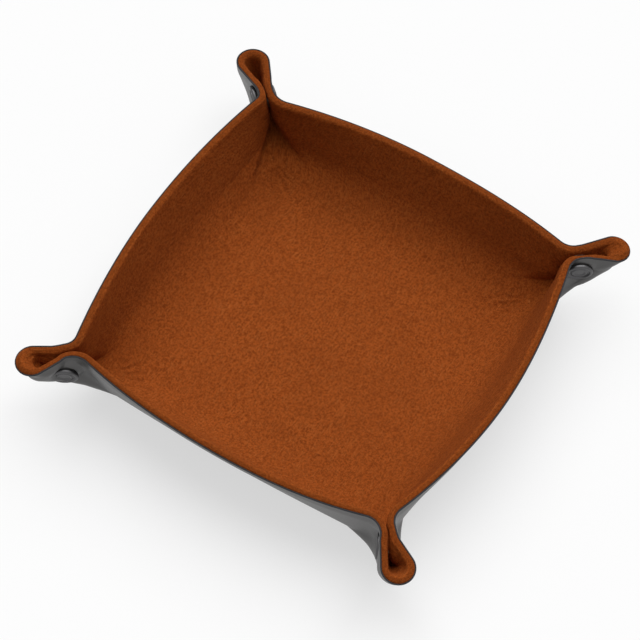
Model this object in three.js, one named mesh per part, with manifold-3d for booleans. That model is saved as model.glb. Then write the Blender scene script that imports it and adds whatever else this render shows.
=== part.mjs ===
// Felt dice tray: one square of leather-backed felt, its four corners pinched into looped ears
// that a press stud at each corner holds together. Millimetres, +Z up, the tray stands on z = 0
// with its middle at the origin and its walls facing along X and Y.
import * as THREE from 'three';
import { mergeVertices } from 'three/addons/utils/BufferGeometryUtils.js';
import Module from 'manifold-3d';

const wasm = await Module();
wasm.setup();

// Driving dimensions of the sheet
const sheetSide = 218; // flat square before it is folded
const floorHalf = 67.5; // middle of the tray to the fold line
const feltThick = 2.8;
const leatherThick = 1.2;
const glueGap = 0.3; // glue line between felt and leather
const bendRadius = 8; // fold between floor and wall, at the glue line
const wallSlope = THREE.MathUtils.degToRad(57.6); // wall to floor, at the middle of a side
const neckLean = 12.2; // rim out past the fold line, at the pinched corners
const neckRise = 0.9; // rim at the corners above the rim at mid-side

// Driving dimensions of the corner ears
const plyClearance = 1.0; // between the two felt faces where an ear is pressed together
const neckRadius = 6.85; // wall turning into the ear, at the rim
const neckRadiusLow = 4.5; // the same turn, at the floor
const flareRadius = 4.6; // pressed stretch opening into the loop, at the rim
const loopRadius = 7.35; // loop at the rim, at the glue line
const loopSwell = 1.7; // power by which the loop widens towards the rim
const loopCore = 0.6; // tightest radius that the felt is rolled to, inside the loop's foot
const loopReach = 18.6; // pinched neck to the middle of the loop, at the rim
const pressLength = 6.5; // stretch that the press stud holds flat, at the stud
const pressRim = 4; // the same stretch at the rim
const pressStart = 9; // up the wall to where that stretch begins
const pinchHeight = 14; // up the wall to where the pinch has closed
const earDroop = THREE.MathUtils.degToRad(8); // ear rim below level
const droopEase = 4; // length over which the rim bends down into the ear

// Where the sheet is divided into panels, and the room between them
const floorLip = 4.5; // floor panel's upturned edge, along the cloth
const earStart = 13; // lowest cloth of an ear, up the wall
const panelGap = 0.4;
const neckSplit = 0.5; // share of the neck's turn that belongs to the wall
const loopSplit = 0.45; // share of the loop's turn that belongs to the ear

// Driving dimensions of the press studs
const snapInset = 10.5; // below the rim, along the cloth
const snapReach = 3.9; // out from the pinched neck
const seatGap = 0.3; // between a stud piece and what it is riveted to
const capRadius = 6.2;
const capSeatRadius = 3.0; // flat middle of the cap's underside
const capLift = 1.85; // underside of the cap's edge above its middle
const capHeight = 3.0;
const capRimWidth = 1.1;
const capEdge = 0.7; // thickness of the cap at its rim
const capDish = 0.35; // shallow face inside the rim
const barrelRadius = 1.45; // cap's rivet
const socketRadius = 5.1;
const socketBodyRadius = 4.2;
const socketDepth = 2.6;
const socketFlange = 0.9;
const socketSink = 1.6; // into the felt
const recessDepth = 1.95;
const headRadius = 1.9; // stud's head
const headLength = 2.0;
const headWaist = 0.35; // head to its waist
const headCrown = 0.65; // widest place of the head below its top
const snapClearance = 0.5; // head to socket, all round
const studRadius = 4.8;
const studFlange = 0.8;
const faceGap = 0.35; // socket to stud, closed
const postRadius = 4.7;
const postSeatRadius = 2.6; // flat middle of the post's underside
const postTopRadius = 2.3; // flat middle of the post's face
const postLift = 1.2; // underside of the post's edge above its middle
const postEdge = 0.4; // thickness of the post at its rim
const postHeight = 2.0;
const pinRadius = 0.95; // post's rivet
const pinReach = 1.2; // post's rivet into the stud, past its flange
const rivetClearance = 0.35;
const pocketClearance = 0.5;

// How finely the sheet is divided
const wallColumns = 5; // half a side
const wallRows = 3;
const neckColumns = 2; // each side of the neck's split
const loopColumns = 3; // each side of the loop's split
const earRows = 3;
const cornerColumns = 3; // half a corner of the floor
const floorRows = 4;
const roundSegments = 18;
const nudge = 0.02; // step over which the cloth's direction is measured
const leastBow = 1e-6; // a wall without a bow is an arc this shallow
const mergeReach = 1e-5; // points this near are one
const cutOverrun = 1; // a cutter past the face that it goes through

// Worked out from the driving dimensions
const wallWidth = sheetSide / 2 - floorHalf;
const neckReach = floorHalf + neckLean;
const snapHeight = wallWidth - snapInset;
const bendHalf = bendRadius * wallSlope / 2;
const leatherFace = glueGap + leatherThick;
const plyHalf = feltThick + plyClearance / 2; // ear's middle plane to the glue line
const loopRadiusLow = feltThick + loopCore;
const cornerHalf = Math.SQRT2 * (neckRadiusLow + loopRadiusLow) - neckRadiusLow;
const quarter = Math.PI / 4;

function smooth(x) {
  const c = THREE.MathUtils.clamp(x, 0, 1);
  return c * c * (3 - 2 * c);
}

// Middle of a side: flat floor, an arc through the wall's slope, then straight up the wall.
// t is the distance along the cloth, outwards from the fold line.
function profile(t) {
  const turn = THREE.MathUtils.clamp((t + bendHalf) / bendRadius, 0, wallSlope);
  const straight = Math.max(t - bendHalf, 0);
  const flat = Math.min(t + bendHalf, 0);
  return {
    reach: floorHalf - bendHalf + flat + bendRadius * Math.sin(turn) + straight * Math.cos(wallSlope),
    height: leatherFace + bendRadius * (1 - Math.cos(turn)) + straight * Math.sin(wallSlope),
  };
}

// One ring of the cloth, t from the fold line, from the middle of a side to the middle of a corner:
// bowed wall, turn at the neck, pressed stretch, flare, straight and half the loop, all tangent.
// Beside the wall's own frame it uses the corner's: q along the diagonal from the neck, l across it.
function ringShape(t) {
  const share = Math.max(t / wallWidth, 0);
  const middle = profile(t);
  const fold = profile(0).reach;
  const open = 1 - smooth(t / pinchHeight);
  const loop = loopRadiusLow + (loopRadius - loopRadiusLow) * share ** loopSwell;
  const neck = neckRadiusLow + (neckRadius - neckRadiusLow) * share;
  const flare = neckRadiusLow + (flareRadius - neckRadiusLow) * share;
  const half = plyHalf + (cornerHalf - plyHalf) * open;
  const risen = THREE.MathUtils.clamp((t - pressStart) / (snapHeight - pressStart), 0, 1);
  const press = pressLength * risen + (pressRim - pressLength) * smooth((t - snapHeight) / snapInset);
  const reach = Math.max(loopReach * share - press, 0);
  const pinchLine = Math.SQRT2 * (fold + (neckReach - fold) * share - loopRadiusLow * open);
  const neckQ = t > 0 ? pinchLine : Math.SQRT2 * (middle.reach - loopRadiusLow);
  const neckZ = middle.height + neckRise * share;

  const apart = Math.hypot(reach, half + flare);
  const straight = Math.sqrt(Math.max(apart ** 2 - (flare + loop) ** 2, 0));
  const lean = Math.asin(Math.min((flare + loop) / apart, 1)) - Math.atan2(half + flare, reach);
  const neckEnd = Math.min(lean, 0);

  const centreX = (neckQ - half - neck) / Math.SQRT2;
  const centreY = (neckQ + half + neck) / Math.SQRT2;
  const bow = Math.max(neck - (centreY - middle.reach), leastBow);
  const wall = (centreX ** 2 + (centreY - middle.reach) ** 2 - neck ** 2) / (2 * bow);
  const wallTurn = Math.atan2(centreX, centreY - middle.reach + wall);

  const lengths = [
    wall * wallTurn,
    neck * (quarter + wallTurn + neckEnd),
    press,
    flare * (lean - neckEnd),
    straight,
    loop * (Math.PI / 2 + lean),
  ];
  const ends = [];
  let total = 0;
  for (const length of lengths) {
    total += length;
    ends.push(total);
  }
  return {
    share, middle, loop, neck, flare, half, press, reach, neckQ, neckZ, lean, neckEnd,
    wall, wallTurn, ends, total,
    droop: Math.tan(earDroop) * (1 - open),
    neckCut: ends[0] + lengths[1] * neckSplit,
    loopCut: ends[4] + lengths[5] * loopSplit,
  };
}

// Point of a ring at distance s along the cloth from the middle of the side
function ringPoint(ring, s) {
  const { ends, neck, flare, loop, half, press, reach, lean, neckEnd, middle, wall } = ring;
  if (s <= ends[0]) {
    const angle = s / wall;
    const along = s / ends[0];
    return new THREE.Vector3(
      wall * Math.sin(angle),
      middle.reach - 2 * wall * Math.sin(angle / 2) ** 2,
      middle.height + (ring.neckZ - middle.height) * along ** 2,
    );
  }
  let q = 0;
  let l = 0;
  if (s <= ends[1]) {
    const angle = (s - ends[0]) / neck - quarter - ring.wallTurn;
    q = neck * Math.sin(angle);
    l = half + neck * (1 - Math.cos(angle));
  } else if (s <= ends[2]) {
    q = s - ends[1];
    l = half;
  } else if (s <= ends[3]) {
    const angle = neckEnd + (s - ends[2]) / flare;
    q = press + flare * Math.sin(angle);
    l = half + flare * (1 - Math.cos(angle));
  } else if (s <= ends[4]) {
    const back = ends[4] - s;
    q = press + reach - loop * Math.sin(lean) - back * Math.cos(lean);
    l = loop * Math.cos(lean) - back * Math.sin(lean);
  } else {
    const angle = (s - ends[4]) / loop - lean;
    q = press + reach + loop * Math.sin(angle);
    l = loop * Math.cos(angle);
  }
  const sag = q > 0 ? ring.droop * q * q / (q + droopEase * ring.share) : 0;
  return new THREE.Vector3(
    (ring.neckQ + q - l) / Math.SQRT2,
    (ring.neckQ + q + l) / Math.SQRT2,
    ring.neckZ - sag,
  );
}

// Evenly spaced distances after from, up to to
function steps(from, to, count) {
  return Array.from({ length: count }, (_, i) => from + (to - from) * (i + 1) / count);
}

// Where a panel's columns of points lie along a ring, from the middle of the side
function wallStations(ring) {
  const end = ring.neckCut - panelGap / 2;
  return [0, ...steps(0, ring.ends[0], wallColumns), ...steps(ring.ends[0], end, neckColumns)];
}

function earStations(ring) {
  const { neckCut, loopCut, ends } = ring;
  return [
    neckCut + panelGap / 2,
    ...steps(neckCut + panelGap / 2, ends[1], neckColumns),
    ...steps(ends[1], ends[2], 1),
    ...steps(ends[2], ends[3], 1),
    ...steps(ends[3], ends[4], 1),
    ...steps(ends[4], loopCut - panelGap / 2, loopColumns),
  ];
}

function loopStations(ring) {
  const from = ring.loopCut + panelGap / 2;
  return [from, ...steps(from, ring.total - panelGap / 2, loopColumns)];
}

// The floor's columns meet the walls' at its lip and keep their shares of the ring below it
const lipRing = ringShape(floorLip);
const lipWall = wallStations(lipRing);
const lipStations = [...lipWall, ...steps(lipWall.at(-1), lipRing.total, cornerColumns)];
const floorShares = lipStations.map((s) => s / lipRing.total);
const floorColumns = floorShares.length - 1;

function floorStations(ring) {
  return floorShares.map((share) => share * ring.total);
}

// Point of a panel's cloth in column i, t from the fold line. offset is measured square to the cloth,
// positive towards the felt side.
function clothPoint(stations, i, t, offset) {
  const ring = ringShape(t);
  const s = stations(ring)[i];
  const ahead = ringPoint(ring, Math.min(s + nudge, ring.total));
  const along = ahead.sub(ringPoint(ring, Math.max(s - nudge, 0)));
  const higher = ringShape(t + nudge);
  const lower = ringShape(t - nudge);
  const up = ringPoint(higher, stations(higher)[i]).sub(ringPoint(lower, stations(lower)[i]));
  const normal = along.cross(up).normalize();
  return ringPoint(ring, s).addScaledVector(normal, offset);
}

// Turns a point of the wall on +Y to wall k, on its half towards corner k (side 1) or k + 1 (side -1)
function onWall(point, k, side) {
  point.x *= side;
  return point.applyAxisAngle(new THREE.Vector3(0, 0, 1), k * Math.PI / 2);
}

function closedGeometry(points, triangles) {
  const geometry = new THREE.BufferGeometry();
  const flat = points.flatMap((p) => [p.x, p.y, p.z]);
  geometry.setAttribute('position', new THREE.Float32BufferAttribute(flat, 3));
  let volume = 0;
  for (const [a, b, c] of triangles) {
    volume += points[a].dot(points[b].clone().cross(points[c]));
  }
  const facing = volume > 0 ? triangles : triangles.map(([a, b, c]) => [a, c, b]);
  geometry.setIndex(facing.flat());
  return geometry;
}

// Closed panel from a grid: columns by rows of cloth points, each at an inner and an outer offset
function panelGeometry(columns, rows, pointAt) {
  const points = [];
  const index = (i, j, layer) => (layer * (rows + 1) + j) * (columns + 1) + i;
  for (let layer = 0; layer < 2; layer++) {
    for (let j = 0; j <= rows; j++) {
      for (let i = 0; i <= columns; i++) {
        points.push(pointAt(i, j, layer));
      }
    }
  }
  const triangles = [];
  const face = (a, b, c, d) => triangles.push([a, b, c], [a, c, d]);
  for (let j = 0; j < rows; j++) {
    for (let i = 0; i < columns; i++) {
      face(index(i, j, 0), index(i + 1, j, 0), index(i + 1, j + 1, 0), index(i, j + 1, 0));
      face(index(i, j, 1), index(i, j + 1, 1), index(i + 1, j + 1, 1), index(i + 1, j, 1));
    }
    face(index(0, j, 0), index(0, j + 1, 0), index(0, j + 1, 1), index(0, j, 1));
    face(index(columns, j, 0), index(columns, j, 1), index(columns, j + 1, 1), index(columns, j + 1, 0));
  }
  for (let i = 0; i < columns; i++) {
    face(index(i, 0, 0), index(i, 0, 1), index(i + 1, 0, 1), index(i + 1, 0, 0));
    face(index(i, rows, 0), index(i + 1, rows, 0), index(i + 1, rows, 1), index(i, rows, 1));
  }
  return closedGeometry(points, triangles);
}

// Floor panel: rings from its upturned lip in to the flat, and one point in the middle, on two layers
function floorGeometry(offsets) {
  const points = [];
  const triangles = [];
  const perRing = 8 * floorColumns;
  for (const offset of offsets) {
    for (let j = 0; j <= floorRows; j++) {
      const t = THREE.MathUtils.lerp(-bendHalf, floorLip, j / floorRows);
      for (let k = 0; k < 4; k++) {
        for (let i = floorColumns; i > 0; i--) {
          points.push(onWall(clothPoint(floorStations, i, t, offset), k, 1));
        }
        for (let i = 0; i < floorColumns; i++) {
          points.push(onWall(clothPoint(floorStations, i, t, offset), k, -1));
        }
      }
    }
    points.push(new THREE.Vector3(0, 0, leatherFace + offset));
  }
  const layerSize = perRing * (floorRows + 1) + 1;
  const index = (i, j, layer) => layer * layerSize + j * perRing + i % perRing;
  for (let i = 0; i < perRing; i++) {
    for (let layer = 0; layer < 2; layer++) {
      const face = (a, b, c) => triangles.push(layer ? [a, c, b] : [a, b, c]);
      face((layer + 1) * layerSize - 1, index(i, 0, layer), index(i + 1, 0, layer));
      for (let j = 0; j < floorRows; j++) {
        face(index(i, j, layer), index(i, j + 1, layer), index(i + 1, j + 1, layer));
        face(index(i, j, layer), index(i + 1, j + 1, layer), index(i + 1, j, layer));
      }
    }
    const [a, b] = [index(i, floorRows, 0), index(i + 1, floorRows, 0)];
    const [c, d] = [index(i + 1, floorRows, 1), index(i, floorRows, 1)];
    triangles.push([a, d, c], [a, c, b]);
  }
  return closedGeometry(points, triangles);
}

// Wall panel k: the whole side from neck to neck
function wallGeometry(k, offsets) {
  const columns = wallColumns + neckColumns;
  return panelGeometry(2 * columns, wallRows, (i, j, layer) => {
    const t = THREE.MathUtils.lerp(floorLip + panelGap, wallWidth, j / wallRows);
    const point = clothPoint(wallStations, Math.abs(i - columns), t, offsets[layer]);
    return onWall(point, k, i < columns ? -1 : 1);
  });
}

// One ply of an ear, or half of its loop, on wall k towards the corner that side gives
function earGeometry(stations, k, side, offsets) {
  const columns = stations(lipRing).length - 1;
  return panelGeometry(columns, earRows, (i, j, layer) => {
    const t = THREE.MathUtils.lerp(earStart, wallWidth, j / earRows);
    return onWall(clothPoint(stations, i, t, offsets[layer]), k, side);
  });
}

// Joins and cuts
function toSolid(geometry, matrix) {
  const bare = geometry.clone();
  bare.deleteAttribute('normal');
  bare.deleteAttribute('uv');
  if (matrix) bare.applyMatrix4(matrix);
  const merged = mergeVertices(bare, mergeReach);
  return new wasm.Manifold(new wasm.Mesh({
    numProp: 3,
    vertProperties: new Float32Array(merged.attributes.position.array),
    triVerts: new Uint32Array(merged.index.array),
  }));
}

function toGeometry(solid) {
  const mesh = solid.getMesh();
  const geometry = new THREE.BufferGeometry();
  geometry.setAttribute('position', new THREE.BufferAttribute(mesh.vertProperties, 3));
  geometry.setIndex(new THREE.BufferAttribute(mesh.triVerts, 1));
  return geometry;
}

// Press stud: y runs along its axis from the ear's middle plane, positive towards the cap
const snapRing = ringShape(snapHeight);
const snapQ = snapRing.neckQ + snapReach;
const snapZ = ringPoint(snapRing, snapRing.ends[1] + snapReach).z;
const feltFace = plyClearance / 2;
const outerFace = plyHalf + leatherFace;
const socketBack = feltFace + socketSink;
const socketFront = socketBack - socketDepth;
const recessFloor = socketFront + recessDepth;
const studFront = socketFront - faceGap;
const studBack = studFront - studFlange;
const headTop = studFront + headLength;
const pinTop = studFront + pinReach;
const pocketRadius = Math.max(socketRadius, studRadius) + pocketClearance;
const barrelHole = barrelRadius + rivetClearance;
const pinHole = pinRadius + rivetClearance;

function turned(outline) {
  return new THREE.LatheGeometry(outline.map(([r, y]) => new THREE.Vector2(r, y)), roundSegments);
}

function capGeometry() {
  const under = outerFace + seatGap;
  const rim = under + capLift;
  return turned([
    [0, recessFloor + seatGap],
    [barrelRadius, recessFloor + seatGap],
    [barrelRadius, under],
    [capSeatRadius, under],
    [capRadius, rim],
    [capRadius, rim + capEdge],
    [capRadius - capRimWidth, under + capHeight],
    [capRadius - 2 * capRimWidth, under + capHeight - capDish],
    [0, under + capHeight - capDish],
  ]);
}

function socketGeometry() {
  const recess = headRadius + snapClearance;
  return turned([
    [barrelHole, recessFloor],
    [recess, recessFloor],
    [recess, socketFront],
    [socketBodyRadius, socketFront],
    [socketBodyRadius, socketBack - socketFlange],
    [socketRadius, socketBack - socketFlange],
    [socketRadius, socketBack],
    [barrelHole, socketBack],
    [barrelHole, recessFloor],
  ]);
}

function studGeometry() {
  return turned([
    [0, pinTop + seatGap],
    [pinHole, pinTop + seatGap],
    [pinHole, studBack],
    [studRadius, studBack],
    [studRadius, studFront],
    [headRadius - headWaist, studFront],
    [headRadius, headTop - headCrown],
    [headRadius - headWaist, headTop],
    [0, headTop],
  ]);
}

function postGeometry() {
  const under = -outerFace - seatGap;
  return turned([
    [0, under - postHeight],
    [postTopRadius, under - postHeight],
    [postRadius, under - postLift - postEdge],
    [postRadius, under - postLift],
    [postSeatRadius, under],
    [pinRadius, under],
    [pinRadius, pinTop],
    [0, pinTop],
  ]);
}

// Cutter along the stud's axis, from one distance to another
function snapCutter(matrix, radius, from, to) {
  const cutter = new THREE.CylinderGeometry(radius, radius, to - from, roundSegments);
  cutter.translate(0, (from + to) / 2, 0);
  return toSolid(cutter, matrix);
}

// Rivet hole through the ear's plies, and a pocket in the felt for the socket or the stud
function pierced(geometry, cutters) {
  let solid = toSolid(geometry);
  for (const cutter of cutters) {
    solid = solid.subtract(cutter);
  }
  return toGeometry(solid);
}

// Materials
const felt = new THREE.MeshStandardMaterial({ color: '#8a4520', roughness: 0.95, metalness: 0 });
const leather = new THREE.MeshStandardMaterial({ color: '#2c2b2d', roughness: 0.5, metalness: 0 });
const gunmetal = new THREE.MeshStandardMaterial({ color: '#45464a', roughness: 0.35, metalness: 0.9 });
const brass = new THREE.MeshStandardMaterial({ color: '#6c6a66', roughness: 0.3, metalness: 0.9 });
const sheets = [
  { name: 'felt', offsets: [0, feltThick], material: felt },
  { name: 'leather', offsets: [-leatherFace, -glueGap], material: leather },
];

const tray = new THREE.Group();

function addPart(name, geometry, material, parent = tray) {
  const mesh = new THREE.Mesh(geometry, material);
  mesh.name = name;
  parent.add(mesh);
}

// Walls and corners, named as they stand in the picture: corner k lies between walls k - 1 and k
const wallNames = ['back_right', 'back_left', 'front_left', 'front_right'];
const corners = [
  { name: 'right', capSide: -1 },
  { name: 'back', capSide: 1 },
  { name: 'left', capSide: 1 },
  { name: 'front', capSide: -1 },
];

for (const { name, offsets, material } of sheets) {
  addPart(`${name}_floor`, floorGeometry(offsets), material);
  wallNames.forEach((wall, k) => addPart(`${name}_wall_${wall}`, wallGeometry(k, offsets), material));
}

corners.forEach((corner, k) => {
  const stand = new THREE.Group();
  stand.rotation.z = quarter + k * Math.PI / 2;
  const snap = new THREE.Group();
  snap.position.set(snapQ, 0, snapZ);
  snap.rotation.x = corner.capSide > 0 ? 0 : Math.PI;
  stand.add(snap);
  tray.add(stand);
  stand.updateMatrixWorld(true);
  const matrix = snap.matrixWorld;

  for (const side of [1, -1]) {
    const wall = side > 0 ? k : (k + 3) % 4;
    const holdsCap = side === corner.capSide;
    const half = holdsCap ? 'cap_side' : 'stud_side';
    const far = outerFace + cutOverrun;
    const hole = holdsCap
      ? snapCutter(matrix, barrelHole, 0, far)
      : snapCutter(matrix, pinHole, -far, 0);
    const pocket = holdsCap
      ? snapCutter(matrix, pocketRadius, socketFront - cutOverrun, socketBack + seatGap)
      : snapCutter(matrix, pocketRadius, studBack - seatGap, socketFront + cutOverrun);
    for (const { name, offsets, material } of sheets) {
      const cutters = name === 'felt' ? [hole, pocket] : [hole];
      const ear = pierced(earGeometry(earStations, wall, side, offsets), cutters);
      addPart(`${name}_ear_${corner.name}_${half}`, ear, material);
      const loop = earGeometry(loopStations, wall, side, offsets);
      addPart(`${name}_loop_${corner.name}_${half}`, loop, material);
    }
  }
  addPart(`snap_cap_${corner.name}`, capGeometry(), gunmetal, snap);
  addPart(`snap_socket_${corner.name}`, socketGeometry(), brass, snap);
  addPart(`snap_stud_${corner.name}`, studGeometry(), brass, snap);
  addPart(`snap_post_${corner.name}`, postGeometry(), gunmetal, snap);
});

export default tray;
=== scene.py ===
# %% [markdown]
# # A felt and leather dice tray
#
# The real tray is one square of wool felt glued to one square of thin black leather.
# Four creases lift its edges into walls, and at each corner the spare cloth is pinched
# into an ear that a press stud holds shut. This lesson builds that folded sheet as
# one surface worked out in numpy, cuts it where the cloth bends, and dresses it.

import bpy
import numpy as np
from mathutils import Matrix, Vector


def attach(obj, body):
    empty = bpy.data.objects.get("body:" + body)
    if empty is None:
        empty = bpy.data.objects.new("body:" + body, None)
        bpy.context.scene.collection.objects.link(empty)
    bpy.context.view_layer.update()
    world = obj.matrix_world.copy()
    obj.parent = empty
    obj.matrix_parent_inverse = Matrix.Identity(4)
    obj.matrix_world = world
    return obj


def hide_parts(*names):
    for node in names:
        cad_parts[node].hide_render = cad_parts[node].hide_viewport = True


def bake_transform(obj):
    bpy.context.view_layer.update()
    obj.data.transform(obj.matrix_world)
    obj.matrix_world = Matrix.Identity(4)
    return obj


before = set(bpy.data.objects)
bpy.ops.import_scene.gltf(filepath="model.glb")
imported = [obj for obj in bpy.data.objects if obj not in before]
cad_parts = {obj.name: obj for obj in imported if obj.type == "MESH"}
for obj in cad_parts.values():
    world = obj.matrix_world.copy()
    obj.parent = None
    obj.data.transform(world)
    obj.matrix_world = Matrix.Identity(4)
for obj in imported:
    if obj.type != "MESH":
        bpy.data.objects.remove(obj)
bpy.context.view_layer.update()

# %% [markdown]
# ## The wall's section
#
# Everything is measured on the flat cloth: `t` runs outwards from the crease, so it is
# negative on the floor and positive up the wall. Cut through the middle of a side,
# the cloth lies flat, turns through an arc and climbs straight. A formula is
# chosen over modelling by hand because the cloth's length is then kept exactly.

# %% Section of a wall
MM = 0.001
FLOOR_HALF = 70.1
WALL_WIDTH = 37.95
LIFT = 1.5
BEND_RADIUS = 30.0
WALL_SLOPE = np.radians(63.0)


def wall_section(t):
    """Reach and height of the glue line: level, then an arc through the slope, then straight."""
    half_arc = BEND_RADIUS * WALL_SLOPE / 2
    turn = np.clip((t + half_arc) / BEND_RADIUS, 0.0, WALL_SLOPE)
    run = np.clip(t - half_arc, 0.0, None)
    level = FLOOR_HALF - half_arc + np.minimum(t + half_arc, 0.0)
    reach = level + BEND_RADIUS * np.sin(turn) + run * np.cos(WALL_SLOPE)
    height = LIFT + BEND_RADIUS * (1 - np.cos(turn)) + run * np.sin(WALL_SLOPE)
    return reach, height


print("rim reach and height, mm", [round(float(v), 2) for v in wall_section(WALL_WIDTH)])

# %% [markdown]
# ## Smooth changes
#
# Cloth has no sudden steps: wherever one form goes over into another it does so gently.
# A few helpers do all of that here. They work on whole arrays, so that no loop over
# single points is needed anywhere.

# %% Helpers for smooth changes
TINY = 1e-12


def mix(pair, share):
    """The value a share of the way from the first of a pair to the second."""
    return pair[0] + (pair[1] - pair[0]) * share


def ease(x):
    """Goes from 0 to 1 with level ends: 3x^2 - 2x^3 on x held between 0 and 1."""
    x = np.clip(x, 0.0, 1.0)
    return x * x * (3.0 - 2.0 * x)


def rise(x, start, width):
    """The same curve, from 0 at the start to 1 a width further on."""
    return ease((x - start) / width)


def band(x, first, last):
    """1 between two eased edges and 0 outside: the first rise times what the last one leaves."""
    return rise(x, *first) * (1 - rise(x, *last))


print("a quarter of the way, eased", float(ease(0.25)))

# %% [markdown]
# ## The outline at one height
#
# Seen from above, each height of the folded sheet is one closed line. An eighth of
# it is enough: from the middle of a wall (1) a very slack arc, (2) a tight arc into
# the neck, (3) the stretch where the two plies are pressed together, (4) an arc that
# opens again, (5) a straight tangent and (6) the loop of spare cloth. Arcs and tangents
# meet without a corner, which is how stiff felt folds. `q` runs out along the corner's
# diagonal from the neck and `w` across it. How far out the loop stands isn't known
# beforehand: it is moved by part of the cloth that is left over, again and again,
# until the line is as long as the cloth.

# %% Outline of arcs and tangents
ROOT2 = np.sqrt(2.0)
FOOT_REACH = 76.3
FOOT_EASE = 2.0
NECK_RISE = 0.9
NECK_RADIUS = (12.0, 8.5)
KEEN_EASE = 12.0
FLARE_RADIUS = (6.0, 8.0)
LOOP_RADIUS = (5.5, 3.0)
LOOP_SWELL = 2.2
LOOP_CLEAR = 1.0001
PLY_HALF = 2.8
PRESS_STUD = 5.5
PRESS_RIM = 0.8
PRESS_START = 9.0
STUD_HEIGHT = 28.4
DROOP_EASE = 4.0
HANG_EASE = 0.4
CORNER_LOSS = 1.7
LOSS_HEIGHT = 20.0
LEAST_BOW = 1e-6
FIT_STEPS = 40
FIT_SHARE = 0.7


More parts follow.
